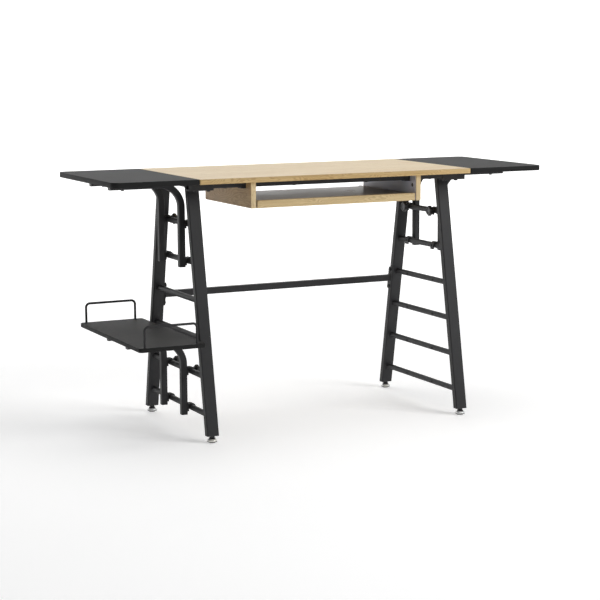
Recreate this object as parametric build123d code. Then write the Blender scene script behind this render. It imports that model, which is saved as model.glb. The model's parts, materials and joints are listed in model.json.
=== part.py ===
"""Craft and drafting desk with two A-frame ladder ends, a slide-out tray and hook-on shelves.

Frame: millimetres, +Z up, +X to the user's right, the user sits on the -Y side.
The origin is on the floor, below the middle of the top.
Every shape is built for the right-hand side (+X) and mirrored where it repeats.
"""
from build123d import *
from math import cos, pi, sin
import os

# ---------------------------------------------------------------- driving dimensions
HEIGHT = 762.0            # floor to the top's upper face
BOARD_T = 15.0            # thickness of the main top and of the two side boards
TOP_W = 890.0             # main top, along X
TOP_D = 484.0             # depth of the main top and side boards, along Y
SIDE_W = 259.0            # side board, along X
SIDE_GAP = 1.0            # gap between the main top and a side board

FRAME_X = 417.0           # middle of an A-frame
LEG_W = 37.0              # leg tube, along X
LEG_D = 21.0              # leg tube, along Y, measured level
LEG_ROUND = 3.0           # outer corner of a leg tube
LEG_Z0 = 23.5             # lower end of the leg tubes
LEG_Y_LOW = 238.9         # middle of a leg at LEG_Z0
LEG_Y_HIGH = 109.9        # middle of a leg at its upper end
WALL = 1.5                # wall of every steel tube

RUNG_R = 8.5              # rung tube radius
RUNG_Z = 76.6             # height of the lowest rung
RUNG_PITCH = 108.8        # rung to rung
RUNG_COUNT = 6
RUNG_HOLE_R = 3.5         # knob holes in the rungs
HOOK_Y = 80.0             # knob holes and shelf brackets, from the middle

RAIL_Y = 176.0            # middle of a long rail
RAIL_D = 20.0             # rail, along Y
RAIL_H = 17.0             # rail, along Z
RAIL_X = 441.0            # half length of a rail
SADDLE_X = 419.0          # middle of a rail saddle
SADDLE_L = 76.0
SADDLE_WEB = 5.0
SADDLE_SIDE = 2.0
SADDLE_DROP = 3.0         # the saddle's sides stop this far below the top
SADDLE_BOLT_DX = (-27.0, 13.0)
TOP_SCREW_XS = (-340.0, -120.0, 120.0, 340.0)

STRETCHER_Z = 380.0
STRETCHER_S = 20.0        # square stretcher tube
END_PLATE_T = 4.0
END_PLATE_H = 72.0
END_BOLT_DZ = 27.0        # end plate bolts, above and below the stretcher

HOUSING_X = 280.0         # outer face of a tray housing side
HOUSING_T = 15.0
HOUSING_Y0 = -225.0
HOUSING_Y1 = 113.0
HOUSING_Z0 = 671.0

SLIDE_Y0 = -205.0         # telescopic slides
SLIDE_Y1 = 95.0
CHANNEL_Y1 = 128.0        # rear end of the fixed channel
SLIDE_Z = 682.0           # middle of the slide
SLIDE_H = 17.0
RACE_GAP = 3.5            # room between the flanges of the two members
SHEET = 1.5               # sheet thickness of the slide members
LEDGE_W = 20.0            # ledge below the tray board's edge
SIGHT_HOLE = (-203.0, 716.0)   # Y and Z of the hole in a slide's mounting plate
SIGHT_HOLE_R = 6.0
BALL_R = 1.4
BALL_PITCH = 20.0
BALL_X = 257.5
CAGE_Y0 = -88.0
CAGE_Y1 = 72.0
CAGE_X0 = 255.0
CAGE_X1 = 262.0
CAGE_T = 1.0

TRAY_HALF_W = 252.0
TRAY_T = 12.0
TRAY_TOP_Z = 692.0
TRAY_BACK_Y = 89.0
STRIP_HALF_W = 260.0
STRIP_T = 15.0
STRIP_Z1 = 693.0

BRACKET_S = 19.0          # square tube of a shelf bracket
BRACKET_X = 439.0         # middle of its upright
BEND_R = 68.0             # middle line of its bend
HOOK_R_IN = 8.8
HOOK_R_OUT = BRACKET_X - BRACKET_S / 2 - FRAME_X
HOOK_W = 18.0
HOOK_TAIL = 12.0          # straight part of a hook below the rung's middle
UPPER_ARM_X = 659.0
UPPER_FOOT_Z = 495.0
UPPER_SCREW_XS = (516.0, 618.0)
LOWER_ARM_X = 615.0
LOWER_FOOT_Z = 55.0
LOWER_SCREW_XS = (520.0, 585.0)

SHELF_X0 = 438.0
SHELF_X1 = 641.0
SHELF_D = 515.0           # depth of the lower shelf, along Y
SHELF_TOP_Z = 296.0
SHELF_T = 12.0
SHELF_ROUND = 10.0

GUARD_R = 3.5             # wire guards of the lower shelf
GUARD_X0 = 464.0
GUARD_X1 = 623.0
GUARD_Y = 249.0
GUARD_TOP_Z = 355.0
GUARD_BEND = 12.0
GUARD_SINK = 8.0

KNOB_R = 14.0
KNOB_LOBES = 6
KNOB_LOBE_R = 4.5
KNOB_H = 12.0
KNOB_BOSS_R = 8.0
KNOB_BOSS_H = 2.0
KNOB_STEM_R = 3.0
KNOB_STEM_IN = 3.7        # length of the stem inside the hook
KNOB_GAP = 0.2

PAD_R = 10.0              # part of a levelling foot that touches the floor
CUP_R = 15.0              # its glide cup
CUP_WALL_Z0 = 4.0
CUP_WALL_Z1 = 9.0
CUP_NECK_R = 6.5
CUP_NECK_Z = 13.0
FLANGE_R = 10.5           # flange of its jam nut
FLANGE_H = 1.5
NUT_R = 7.5               # jam nut, across its corners
NUT_H = 6.5
STEM_R = 4.0
STEM_TOP_Z = 40.0
PLUG_FLANGE = 3.0
PLUG_TOP_Z = 45.0

# ---------------------------------------------------------------- derived values
TOP_UNDER = HEIGHT - BOARD_T
RAIL_Z0 = TOP_UNDER - RAIL_H
LEG_Z1 = RAIL_Z0
SIDE_X0 = TOP_W / 2 + SIDE_GAP
SIDE_X1 = SIDE_X0 + SIDE_W
SIDE_ROUND = 24.0         # outer corners of a side board
TOP_ROUND = 3.0           # corners of the main top and inner corners of a side board
EDGE_ROUND = 1.5          # upper and lower edges of every board
HOLE_GAP = 0.1            # clearance round a screw
FIT_GAP = 0.3             # clearance of loose fits
RUNG_HEIGHTS = [RUNG_Z + RUNG_PITCH * n for n in range(RUNG_COUNT)]
UP = (0, 0, 1)
INBOARD = (-1, 0, 0)
OUTBOARD = (1, 0, 0)

# screws: head radius, head height, shank radius, shank length
SADDLE_BOLT = (5.5, 4.0, 3.0, 15.0)
TOP_SCREW = (4.5, 1.5, 2.0, RAIL_H + 10.0)
END_BOLT = (5.5, 4.0, 3.0, 14.0)
SMALL_SCREW = (4.0, 2.0, 1.8, 11.0)
SHELF_SCREW = (4.5, 3.0, 2.0, BRACKET_S + 9.0)

nodes = {}


# ---------------------------------------------------------------- small helpers
def block(x0, x1, y0, y1, z0, z1):
    """Box between two corners."""
    centre = ((x0 + x1) / 2, (y0 + y1) / 2, (z0 + z1) / 2)
    return Pos(*centre) * Box(abs(x1 - x0), abs(y1 - y0), abs(z1 - z0))


def rod(start, direction, radius, length):
    """Cylinder from a start point along a direction."""
    place = Plane(origin=start, z_dir=direction)
    return place * Cylinder(radius, length, align=(Align.CENTER, Align.CENTER, Align.MIN))


def flip_x(shape):
    return mirror(shape, about=Plane.YZ)


def flip_y(shape):
    return mirror(shape, about=Plane.XZ)


def group(shapes):
    """Separate solids that share one node."""
    return Compound(children=[solid for shape in shapes for solid in shape.solids()])


def cut(shape, tools):
    for tool in tools:
        shape = shape - tool
    return shape


def screw(head_at, direction, head_r, head_h, shank_r, shank_l):
    """Pan head with its shank; head_at is the seat under the head."""
    shank = rod(head_at, direction, shank_r, shank_l)
    back = tuple(-value for value in direction)
    head = rod(head_at, back, head_r, head_h)
    rim = head.edges().sort_by(Axis(head_at, back))[-1]
    recess_at = tuple(p + head_h * b for p, b in zip(head_at, back))
    recess = Plane(origin=recess_at, z_dir=direction) * extrude(
        RegularPolygon(head_r * 0.42, 6), head_h * 0.6)
    return fillet(rim, head_h * 0.35) + shank - recess


def screw_hole(head_at, direction, shank_r, shank_l):
    return rod(head_at, direction, shank_r + HOLE_GAP, shank_l + HOLE_GAP)


def board(x0, x1, half_d, z0, z1, outer_r, inner_r):
    """Board with rounded corners; outer_r is used at x1 and inner_r at x0."""
    slab = block(x0, x1, -half_d, half_d, z0, z1)
    uprights = slab.edges().filter_by(Axis.Z).sort_by(Axis.X)
    slab = fillet(uprights[2:], outer_r)
    uprights = slab.edges().filter_by(Axis.Z).sort_by(Axis.X)
    slab = fillet(uprights[:2], inner_r)
    faces = slab.faces().sort_by(Axis.Z)
    return fillet(faces[0].edges() + faces[-1].edges(), EDGE_ROUND)


def leg_y(z):
    """Middle of a rear leg at a height."""
    return LEG_Y_LOW + (LEG_Y_HIGH - LEG_Y_LOW) * (z - LEG_Z0) / (LEG_Z1 - LEG_Z0)


def leaning(z0, z1, half_d, x0, x1):
    """Prism that leans with the rear leg, between two heights."""
    corners = [(leg_y(z0) - half_d, z0), (leg_y(z0) + half_d, z0),
               (leg_y(z1) + half_d, z1), (leg_y(z1) - half_d, z1)]
    outline = make_face(Polyline(*corners, close=True))
    return Pos(x0, 0, 0) * extrude(Plane.YZ * outline, x1 - x0)


def square_tube(x0, x1, y0, y1, z0, z1, axis, wall=WALL, corner=2.5):
    """Rectangular tube along an axis, open at both ends."""
    outer = block(x0, x1, y0, y1, z0, z1)
    outer = fillet(outer.edges().filter_by(axis), corner)
    grow = {Axis.X: (1, 0, 0), Axis.Y: (0, 1, 0), Axis.Z: (0, 0, 1)}[axis]
    dx, dy, dz = (wall if not g else -1.0 for g in grow)
    inner = block(x0 + dx, x1 - dx, y0 + dy, y1 - dy, z0 + dz, z1 - dz)
    return outer - fillet(inner.edges().filter_by(axis), corner - wall / 2)


# ---------------------------------------------------------------- A-frame ladder ends
def rear_leg():
    x0 = FRAME_X - LEG_W / 2
    x1 = FRAME_X + LEG_W / 2
    tube = leaning(LEG_Z0, LEG_Z1, LEG_D / 2, x0, x1)
    long_edges = tube.edges().sort_by(SortBy.LENGTH)[-4:]
    tube = fillet(long_edges, LEG_ROUND)
    hollow = leaning(LEG_Z0, LEG_Z1, LEG_D / 2 - WALL, x0 + WALL, x1 - WALL)
    hollow = fillet(hollow.edges().sort_by(SortBy.LENGTH)[-4:], LEG_ROUND - WALL / 2)
    return tube - hollow


def end_bolt_seats():
    """Seats of the two bolts that hold the stretcher's end plate, on the right rear leg."""
    x = FRAME_X - LEG_W / 2 - END_PLATE_T
    heights = [STRETCHER_Z - END_BOLT_DZ, STRETCHER_Z + END_BOLT_DZ]
    return [(x, leg_y(z), z) for z in heights]


def leg_plug():
    """Plastic insert with a threaded bush that closes a leg's lower end."""
    x0 = FRAME_X - LEG_W / 2
    x1 = FRAME_X + LEG_W / 2
    z0 = LEG_Z0 - PLUG_FLANGE
    y = leg_y(LEG_Z0)
    flange = block(x0, x1, y - LEG_D / 2, y + LEG_D / 2, z0, LEG_Z0)
    flange = fillet(flange.edges().filter_by(Axis.Z), LEG_ROUND)
    flange = fillet(flange.faces().sort_by(Axis.Z)[0].edges(), 1.0)
    inset = WALL + HOLE_GAP
    stem = leaning(LEG_Z0, PLUG_TOP_Z, LEG_D / 2 - inset, x0 + inset, x1 - inset)
    stem = fillet(stem.edges().filter_by(Axis.X, reverse=True).sort_by(SortBy.LENGTH)[-4:], LEG_ROUND - WALL / 2)
    bush = rod((FRAME_X, y, z0), (0, 0, 1), STEM_R + FIT_GAP, PLUG_TOP_Z - z0)
    return flange + stem - bush


def rungs():
    """Six welded rungs, cut to the lean of the legs, with knob holes on the inboard side."""
    reach = LEG_Y_LOW
    x0 = FRAME_X - LEG_W / 2
    x1 = FRAME_X + LEG_W / 2
    low = leg_y(LEG_Z0) - LEG_D / 2
    high = leg_y(LEG_Z1) - LEG_D / 2
    corners = [(-low, LEG_Z0), (low, LEG_Z0), (high, LEG_Z1), (-high, LEG_Z1)]
    between = Pos(x0, 0, 0) * extrude(Plane.YZ * make_face(Polyline(*corners, close=True)), x1 - x0)
    made = []
    for z in RUNG_HEIGHTS:
        start = (FRAME_X, -reach, z)
        bar = rod(start, (0, 1, 0), RUNG_R, 2 * reach) & between
        bar = bar - rod(start, (0, 1, 0), RUNG_R - WALL, 2 * reach)
        holes = [rod((FRAME_X, y, z), INBOARD, RUNG_HOLE_R, 2 * RUNG_R) for y in (-HOOK_Y, HOOK_Y)]
        made.append(cut(bar, holes))
    return made


def crossbar():
    x0 = FRAME_X - LEG_W / 2
    x1 = FRAME_X + LEG_W / 2
    y = RAIL_Y - RAIL_D / 2 - SADDLE_SIDE
    return square_tube(x0, x1, -y, y, RAIL_Z0, TOP_UNDER, Axis.Y)


leg_holes = [screw_hole(seat, OUTBOARD, *END_BOLT[2:]) for seat in end_bolt_seats()]
nodes["right_rear_leg"] = cut(rear_leg(), leg_holes)
nodes["right_front_leg"] = flip_y(rear_leg())
nodes["left_rear_leg"] = flip_x(nodes["right_rear_leg"])
nodes["left_front_leg"] = flip_x(nodes["right_front_leg"])
nodes["right_crossbar"] = crossbar()
nodes["left_crossbar"] = flip_x(crossbar())
nodes["right_rungs"] = group(rungs())
nodes["left_rungs"] = group([flip_x(bar) for bar in rungs()])
rear_plugs = [leg_plug(), flip_x(leg_plug())]
nodes["leg_plugs"] = group(rear_plugs + [flip_y(plug) for plug in rear_plugs])


# ---------------------------------------------------------------- levelling feet
def foot():
    """Glide cup, jam nut and threaded stem of a levelling foot, under the right rear leg."""
    profile = Polyline(
        (0, 0), (PAD_R - 1, 0), (PAD_R, 1), (CUP_R - 1, CUP_WALL_Z0 - 1), (CUP_R, CUP_WALL_Z0),
        (CUP_R, CUP_WALL_Z1), (CUP_R - 1, CUP_WALL_Z1 + 1), (CUP_NECK_R, CUP_NECK_Z), (STEM_R, CUP_NECK_Z),
        (STEM_R, STEM_TOP_Z - 1), (STEM_R - 1, STEM_TOP_Z), (0, STEM_TOP_Z), close=True)
    body = revolve(Plane.XZ * make_face(profile), Axis.Z)
    nut = extrude(RegularPolygon(NUT_R, 6), NUT_H) + extrude(Circle(FLANGE_R), FLANGE_H)
    nut = Pos(0, 0, CUP_NECK_Z) * nut
    return Pos(FRAME_X, leg_y(LEG_Z0), 0) * (body + nut)


nodes["right_rear_foot"] = foot()
nodes["right_front_foot"] = flip_y(foot())
nodes["left_rear_foot"] = flip_x(foot())
nodes["left_front_foot"] = flip_x(flip_y(foot()))


# ---------------------------------------------------------------- frame below the top
def rail_saddle():
    """Steel channel on a crossbar's rear end that holds the rail."""
    x0 = SADDLE_X - SADDLE_L / 2
    x1 = SADDLE_X + SADDLE_L / 2
    half = RAIL_D / 2 + SADDLE_SIDE
    channel = block(x0, x1, RAIL_Y - half, RAIL_Y + half, RAIL_Z0 - SADDLE_WEB, TOP_UNDER - SADDLE_DROP)
    return channel - block(x0 - 1, x1 + 1, RAIL_Y - RAIL_D / 2, RAIL_Y + RAIL_D / 2, RAIL_Z0, TOP_UNDER)


def saddle_bolt_seats():
    z = RAIL_Z0 - SADDLE_WEB
    return [(SADDLE_X + dx, RAIL_Y, z) for dx in SADDLE_BOLT_DX]


def top_screw_seats():
    return [(x, RAIL_Y, RAIL_Z0) for x in TOP_SCREW_XS]


right_bolt_seats = saddle_bolt_seats()
all_bolt_seats = right_bolt_seats + [(-x, y, z) for x, y, z in right_bolt_seats]
saddle_holes = [screw_hole(seat, UP, *SADDLE_BOLT[2:]) for seat in right_bolt_seats]
rail_holes = [screw_hole(seat, UP, *SADDLE_BOLT[2:]) for seat in all_bolt_seats]
top_holes = [screw_hole(seat, UP, *TOP_SCREW[2:]) for seat in top_screw_seats()]

rail = square_tube(-RAIL_X, RAIL_X, RAIL_Y - RAIL_D / 2, RAIL_Y + RAIL_D / 2, RAIL_Z0, TOP_UNDER, Axis.X)
rear_rail = cut(rail, rail_holes + top_holes)
nodes["rear_rail"] = rear_rail
nodes["front_rail"] = flip_y(rear_rail)

saddle = cut(rail_saddle(), saddle_holes)
rear_saddles = [saddle, flip_x(saddle)]
nodes["rail_saddles"] = group(rear_saddles + [flip_y(one) for one in rear_saddles])

rear_bolts = [screw(seat, UP, *SADDLE_BOLT) for seat in all_bolt_seats]
end_bolts = [screw(seat, OUTBOARD, *END_BOLT) for seat in end_bolt_seats()]
nodes["frame_bolts"] = group(rear_bolts + [flip_y(bolt) for bolt in rear_bolts]
                             + end_bolts + [flip_x(bolt) for bolt in end_bolts])

rear_top_screws = [screw(seat, UP, *TOP_SCREW) for seat in top_screw_seats()]
nodes["tabletop_screws"] = group(rear_top_screws + [flip_y(one) for one in rear_top_screws])

plate_x1 = FRAME_X - LEG_W / 2
plate_x0 = plate_x1 - END_PLATE_T
end_plate = leaning(STRETCHER_Z - END_PLATE_H / 2, STRETCHER_Z + END_PLATE_H / 2,
                    LEG_D / 2, plate_x0, plate_x1)
end_plate = fillet(end_plate.edges().filter_by(Axis.X), END_PLATE_T)
end_plate = cut(end_plate, leg_holes)
nodes["stretcher_plates"] = group([end_plate, flip_x(end_plate)])
stretcher_y = leg_y(STRETCHER_Z)
half_s = STRETCHER_S / 2
nodes["stretcher"] = square_tube(-plate_x0, plate_x0, stretcher_y - half_s, stretcher_y + half_s,
                                 STRETCHER_Z - half_s, STRETCHER_Z + half_s, Axis.X)

# ---------------------------------------------------------------- main top
top = block(-TOP_W / 2, TOP_W / 2, -TOP_D / 2, TOP_D / 2, TOP_UNDER, HEIGHT)
top = fillet(top.edges().filter_by(Axis.Z), TOP_ROUND)
top = fillet(top.faces().sort_by(Axis.Z)[0].edges() + top.faces().sort_by(Axis.Z)[-1].edges(), EDGE_ROUND)
nodes["tabletop"] = cut(top, top_holes + [flip_y(hole) for hole in top_holes])


# ---------------------------------------------------------------- tray housing
COLLAR_T = 3.0
COLLAR_W = 15.0


def rail_notch(x0, x1):
    half = RAIL_D / 2
    return block(x0, x1, -RAIL_Y - half, -RAIL_Y + half, RAIL_Z0, TOP_UNDER + 1)


def rail_collar(x0, x1):
    """Collar on the front rail that holds a housing side in place."""
    half = RAIL_D / 2 + COLLAR_T
    sleeve = block(x0, x1, -RAIL_Y - half, -RAIL_Y + half, RAIL_Z0 - COLLAR_T, TOP_UNDER)
    return sleeve - rail_notch(x0 - 1, x1 + 1)


ANGLE_W = 20.0
ANGLE_L = 24.0
ANGLE_T = 2.5
ANGLE_HOLE = 15.0         # hole in an angle, from its corner
ANGLE_YS = (-60.0, 85.0)
PLATE_SCREW_Z = 737.0
PLATE_SCREW_YS = (-100.0, 0.0, 90.0)
PLATE_FACE_X = HOUSING_X - HOUSING_T - SHEET


def angle_bracket(y):
    """Angle that holds a housing side's outer face to the top."""
    upright = block(HOUSING_X, HOUSING_X + ANGLE_T, y - ANGLE_W / 2, y + ANGLE_W / 2,
                    TOP_UNDER - ANGLE_L, TOP_UNDER)
    flat = block(HOUSING_X, HOUSING_X + ANGLE_L, y - ANGLE_W / 2, y + ANGLE_W / 2,
                 TOP_UNDER - ANGLE_T, TOP_UNDER)
    return upright + flat


angle_side_seats = [(HOUSING_X + ANGLE_T, y, TOP_UNDER - ANGLE_HOLE) for y in ANGLE_YS]
angle_top_seats = [(HOUSING_X + ANGLE_HOLE, y, TOP_UNDER - ANGLE_T) for y in ANGLE_YS]
plate_seats = [(PLATE_FACE_X, y, PLATE_SCREW_Z) for y in PLATE_SCREW_YS]
angle_side_holes = [screw_hole(seat, INBOARD, *SMALL_SCREW[2:]) for seat in angle_side_seats]
angle_top_holes = [screw_hole(seat, UP, *SMALL_SCREW[2:]) for seat in angle_top_seats]
plate_holes = [screw_hole(seat, OUTBOARD, *SMALL_SCREW[2:]) for seat in plate_seats]

side = block(HOUSING_X - HOUSING_T, HOUSING_X, HOUSING_Y0, HOUSING_Y1, HOUSING_Z0, TOP_UNDER)
side = fillet(side.edges().filter_by(Axis.Y).sort_by(Axis.Z)[:2], 1.0)
side = side - rail_notch(HOUSING_X - HOUSING_T - 1, HOUSING_X + 1)
side = cut(side, angle_side_holes + plate_holes)
nodes["right_housing_side"] = side
nodes["left_housing_side"] = flip_x(side)

angles = [cut(angle_bracket(y), angle_side_holes + angle_top_holes) for y in ANGLE_YS]
collars = [rail_collar(HOUSING_X, HOUSING_X + COLLAR_W),
           rail_collar(PLATE_FACE_X - COLLAR_W, PLATE_FACE_X)]
right_brackets = angles + collars
nodes["housing_brackets"] = group(right_brackets + [flip_x(one) for one in right_brackets])

top_angle_holes = angle_top_holes + [flip_x(hole) for hole in angle_top_holes]
nodes["tabletop"] = cut(nodes["tabletop"], top_angle_holes)

right_screws = [screw(seat, INBOARD, *SMALL_SCREW) for seat in angle_side_seats]
right_screws += [screw(seat, UP, *SMALL_SCREW) for seat in angle_top_seats]
right_screws += [screw(seat, OUTBOARD, *SMALL_SCREW) for seat in plate_seats]
nodes["housing_screws"] = group(right_screws + [flip_x(one) for one in right_screws])


# ---------------------------------------------------------------- telescopic slides
def slide_outer():
    """Mounting plate with the outer channel of a slide, on the right housing side."""
    x1 = HOUSING_X - HOUSING_T
    plate = block(PLATE_FACE_X, x1, HOUSING_Y0 + 3, HOUSING_Y1 - 5, HOUSING_Z0 + 2, TOP_UNDER - 2)
    z0 = SLIDE_Z - SLIDE_H / 2
    z1 = SLIDE_Z + SLIDE_H / 2
    lip_x = TRAY_HALF_W + SHEET + 1.0
    web = block(PLATE_FACE_X, x1, SLIDE_Y0, CHANNEL_Y1, z0, z1)
    low = block(lip_x, x1, SLIDE_Y0, CHANNEL_Y1, z0, z0 + SHEET)
    high = block(lip_x, x1, SLIDE_Y0, CHANNEL_Y1, z1 - SHEET, z1)
    sight_hole = rod((x1 + 1, *SIGHT_HOLE), INBOARD, SIGHT_HOLE_R, SHEET + 2)
    body = plate + web + low + high - rail_notch(PLATE_FACE_X - 1, x1 + 1) - sight_hole
    return cut(body, plate_holes)


INNER_H = SLIDE_H - 2 * SHEET - 2 * RACE_GAP
INNER_FLANGE_X1 = TRAY_HALF_W + SHEET + 6.0


def slide_inner():
    """Inner member of a slide, with a ledge that carries the tray board's edge."""
    x0 = TRAY_HALF_W
    z_ledge = TRAY_TOP_Z - TRAY_T - SHEET
    z0 = SLIDE_Z - INNER_H / 2
    z1 = SLIDE_Z + INNER_H / 2
    web = block(x0, x0 + SHEET, SLIDE_Y0, SLIDE_Y1, z_ledge, z1)
    ledge = block(x0 - LEDGE_W, x0 + SHEET, SLIDE_Y0, SLIDE_Y1, z_ledge, z_ledge + SHEET)
    low = block(x0, INNER_FLANGE_X1, SLIDE_Y0, SLIDE_Y1, z0, z0 + SHEET)
    high = block(x0, INNER_FLANGE_X1, SLIDE_Y0, SLIDE_Y1, z1 - SHEET, z1)
    return cut(web + ledge + low + high, tray_holes)


def ball_retainer():
    """Cage with its two rows of balls, between the two members of a slide."""
    race_z = INNER_H / 2 + RACE_GAP / 2
    half = CAGE_T / 2
    web = block(CAGE_X1 - CAGE_T, CAGE_X1, CAGE_Y0, CAGE_Y1, SLIDE_Z - race_z - half, SLIDE_Z + race_z + half)
    for sign in (-1, 1):
        z = SLIDE_Z + sign * race_z
        web = web + block(CAGE_X0, CAGE_X1, CAGE_Y0, CAGE_Y1, z - half, z + half)
        count = int((CAGE_Y1 - CAGE_Y0) / BALL_PITCH)
        for n in range(count):
            y = CAGE_Y0 + BALL_PITCH * (n + 0.5)
            web = web + Pos(BALL_X, y, z) * Sphere(BALL_R)
    return web


TRAY_SCREW_YS = (-180.0, -50.0, 75.0)
ledge_under = TRAY_TOP_Z - TRAY_T - SHEET
tray_seats = [(TRAY_HALF_W - LEDGE_W / 2, y, ledge_under) for y in TRAY_SCREW_YS]
tray_holes = [screw_hole(seat, UP, *SMALL_SCREW[2:]) for seat in tray_seats]

nodes["right_slide_outer"] = slide_outer()
nodes["left_slide_outer"] = flip_x(nodes["right_slide_outer"])
nodes["right_slide_inner"] = slide_inner()
nodes["left_slide_inner"] = flip_x(nodes["right_slide_inner"])
nodes["right_ball_retainer"] = ball_retainer()
nodes["left_ball_retainer"] = flip_x(nodes["right_ball_retainer"])

# ---------------------------------------------------------------- tray
strip_back = HOUSING_Y0 + STRIP_T
tray = block(-TRAY_HALF_W, TRAY_HALF_W, strip_back, TRAY_BACK_Y, TRAY_TOP_Z - TRAY_T, TRAY_TOP_Z)
nodes["tray_board"] = cut(tray, tray_holes + [flip_x(hole) for hole in tray_holes])
strip = block(-STRIP_HALF_W, STRIP_HALF_W, HOUSING_Y0, strip_back, HOUSING_Z0, STRIP_Z1)
nodes["tray_front_strip"] = fillet(strip.edges().filter_by(Axis.X), EDGE_ROUND)
tray_screws = [screw(seat, UP, *SMALL_SCREW) for seat in tray_seats]
nodes["tray_screws"] = group(tray_screws + [flip_x(one) for one in tray_screws])


# ---------------------------------------------------------------- shelf brackets
def bracket_solid(size, corner, arm_z, foot_z, arm_x, y):
    """Upright, bend and arm of a bracket as one bar of square section."""
    bend_z = arm_z - BEND_R
    bend_x = BRACKET_X + BEND_R
    section = Plane(origin=(BRACKET_X, y, foot_z)) * RectangleRounded(size, size, corner)
    upright = extrude(section, bend_z - foot_z, dir=(0, 0, 1))
    at_bend = Plane(origin=(BRACKET_X, y, bend_z)) * RectangleRounded(size, size, corner)
    bend = revolve(at_bend, Axis((bend_x, y, bend_z), (0, 1, 0)), 90)
    arm_section = Plane(origin=(bend_x, y, arm_z), z_dir=(1, 0, 0)) * RectangleRounded(size, size, corner)
    arm = extrude(arm_section, arm_x - bend_x, dir=(1, 0, 0))
    return upright + bend + arm


CAP_T = 2.5
CAP_PLUG = 10.0
BRACKET_ROUND = 3.0       # outer corner of a bracket tube
BRACKET_ROUND_IN = 2.0


def bracket_tube(arm_z, foot_z, arm_x, y, holes):
    inner_s = BRACKET_S - 2 * WALL
    outer = bracket_solid(BRACKET_S, BRACKET_ROUND, arm_z, foot_z + CAP_T, arm_x - CAP_T, y)
    inner = bracket_solid(inner_s, BRACKET_ROUND_IN, arm_z, foot_z + CAP_T, arm_x - CAP_T, y)
    return cut(outer - inner, holes)


def tube_cap(seat, inward):
    """Plastic cap; seat is the cap's outer face and inward points into the tube."""
    face = Plane(origin=seat, z_dir=inward)
    flange = extrude(face * RectangleRounded(BRACKET_S, BRACKET_S, BRACKET_ROUND), CAP_T)
    plug_s = BRACKET_S - 2 * WALL - 2 * HOLE_GAP
    plug = extrude(face * RectangleRounded(plug_s, plug_s, BRACKET_ROUND_IN), CAP_T + CAP_PLUG)
    return flange + plug


def hook(y, z):
    """Saddle hook that hangs a bracket on a rung."""
    place = Plane(origin=(FRAME_X, y - HOOK_W / 2, z), x_dir=(1, 0, 0), z_dir=(0, 1, 0))
    # in this plane +Y points down, so the open side of the hook is at +Y
    outer = Circle(HOOK_R_OUT) + Pos(0, HOOK_TAIL / 2) * Rectangle(2 * HOOK_R_OUT, HOOK_TAIL)
    inner = Circle(HOOK_R_IN) + Pos(0, HOOK_TAIL) * Rectangle(2 * HOOK_R_IN, 2 * HOOK_TAIL)
    body = extrude(place * (outer - inner), HOOK_W)
    hole = rod((FRAME_X, y, z), INBOARD, RUNG_HOLE_R, 2 * HOOK_R_OUT)
    return body - hole


def knob(y, z):
    """Lobed hand knob with its threaded stem, on the inboard side of a hook."""
    outline = Circle(KNOB_R)
    for n in range(KNOB_LOBES):
        angle = 2 * pi * n / KNOB_LOBES
        ring = KNOB_R - KNOB_LOBE_R + 2.5
        outline += Pos(ring * cos(angle), ring * sin(angle)) * Circle(KNOB_LOBE_R)
    outline = fillet(outline.vertices(), 1.5)
    body = extrude(outline, KNOB_H)
    body = fillet(body.faces().sort_by(Axis.Z)[-1].edges(), 1.2)
    boss = rod((0, 0, 0), (0, 0, -1), KNOB_BOSS_R, KNOB_BOSS_H)
    stem = rod((0, 0, 0), (0, 0, -1), KNOB_STEM_R, KNOB_BOSS_H + KNOB_GAP + KNOB_STEM_IN)
    face_x = FRAME_X - HOOK_R_OUT - KNOB_GAP - KNOB_BOSS_H
    return Plane(origin=(face_x, y, z), z_dir=INBOARD) * (body + boss + stem)


def shelf_unit(prefix, mirror_it, shelf, under_z, foot_z, arm_x, rung_low, screw_xs):
    """Board, two bracket tubes, hooks, screws, caps and two knobs of one hook-on shelf."""
    place = flip_x if mirror_it else (lambda shape: shape)
    arm_z = under_z - BRACKET_S / 2
    seats = {y: [(x, y, under_z - BRACKET_S) for x in screw_xs] for y in (-HOOK_Y, HOOK_Y)}
    holes = {y: [screw_hole(seat, UP, *SHELF_SCREW[2:]) for seat in seats[y]] for y in seats}
    for y, label in ((-HOOK_Y, "front"), (HOOK_Y, "rear")):
        tube = bracket_tube(arm_z, foot_z, arm_x, y, holes[y])
        nodes[prefix + "_bracket_" + label] = place(tube)
        nodes[prefix + "_knob_" + label] = place(knob(y, RUNG_HEIGHTS[rung_low + 1]))
    ys = (-HOOK_Y, HOOK_Y)
    hooks = [hook(y, RUNG_HEIGHTS[rung_low + n]) for y in ys for n in (0, 1)]
    caps = [tube_cap((BRACKET_X, y, foot_z), UP) for y in ys]
    caps += [tube_cap((arm_x, y, arm_z), INBOARD) for y in ys]
    screws = [screw(seat, UP, *SHELF_SCREW) for y in ys for seat in seats[y]]
    nodes[prefix + "_board"] = place(cut(shelf, holes[-HOOK_Y] + holes[HOOK_Y]))
    nodes[prefix + "_hooks"] = group([place(one) for one in hooks])
    nodes[prefix + "_tube_caps"] = group([place(one) for one in caps])
    nodes[prefix + "_screws"] = group([place(one) for one in screws])


side_board = board(SIDE_X0, SIDE_X1, TOP_D / 2, TOP_UNDER, HEIGHT, SIDE_ROUND, TOP_ROUND)
for prefix, mirror_it in (("right_side", False), ("left_side", True)):
    shelf_unit(prefix, mirror_it, side_board, TOP_UNDER, UPPER_FOOT_Z, UPPER_ARM_X,
               RUNG_COUNT - 2, UPPER_SCREW_XS)

# ---------------------------------------------------------------- lower shelf and its guards
shelf_under = SHELF_TOP_Z - SHELF_T


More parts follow.
